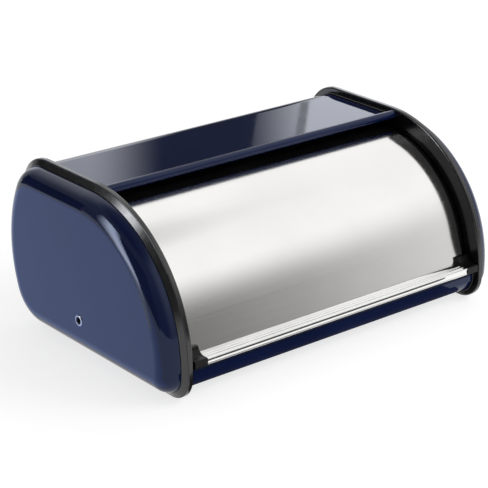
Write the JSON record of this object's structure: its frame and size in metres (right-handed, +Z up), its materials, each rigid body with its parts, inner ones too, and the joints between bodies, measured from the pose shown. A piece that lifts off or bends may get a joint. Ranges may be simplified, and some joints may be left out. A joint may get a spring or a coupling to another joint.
{
  "type": "roll-top bread box",
  "caption": "Painted steel bread box with domed ends, black rim trims and a curved stainless lid that rolls back under the top.",
  "frame": {"origin": "middle of the footprint, on the surface the box stands on", "axes": "+X to the box's right as seen from its front, +Y to the back, +Z up; the lid is at -Y"},
  "size_m": [0.419, 0.2771, 0.175],
  "materials": {
    "navy_paint": "gloss navy enamel",
    "rim_plastic": "satin black moulding",
    "black_plastic": "fine black texture",
    "stainless_sheet": "mirror-polished stainless",
    "handle_chrome": "polished",
    "rivet_chrome": "bright plated",
    "rivet_alloy": "bare",
    "washer_nylon": "natural nylon",
    "bumper_rubber": "soft black"
  },
  "bodies": {
    "casing": {"body_shell": "navy_paint", "base_tray": "navy_paint", "seam_rivets": "rivet_alloy", "lid_bumpers": "bumper_rubber", "left_rim_trim": "rim_plastic", "left_end_panel": "navy_paint", "left_pivot_rivet": "rivet_chrome", "left_pivot_washer": "washer_nylon", "left_pivot_retainer": "rivet_alloy", "right_rim_trim": "rim_plastic", "right_end_panel": "navy_paint", "right_pivot_rivet": "rivet_chrome", "right_pivot_washer": "washer_nylon", "right_pivot_retainer": "rivet_alloy"},
    "lid": {"lid_sheet": "stainless_sheet", "lid_handle": "handle_chrome", "lid_rear_strip": "black_plastic", "left_lid_arm": "black_plastic", "left_handle_cap": "black_plastic", "right_lid_arm": "black_plastic", "right_handle_cap": "black_plastic"}
  },
  "joints": [
    {"name": "lid_hinge", "type": "hinge", "parent": "casing", "child": "lid", "pos_m": [0, 0.0045, 0.041], "axis": [-1, 0, 0], "range_deg": [0, 75]}
  ]
}
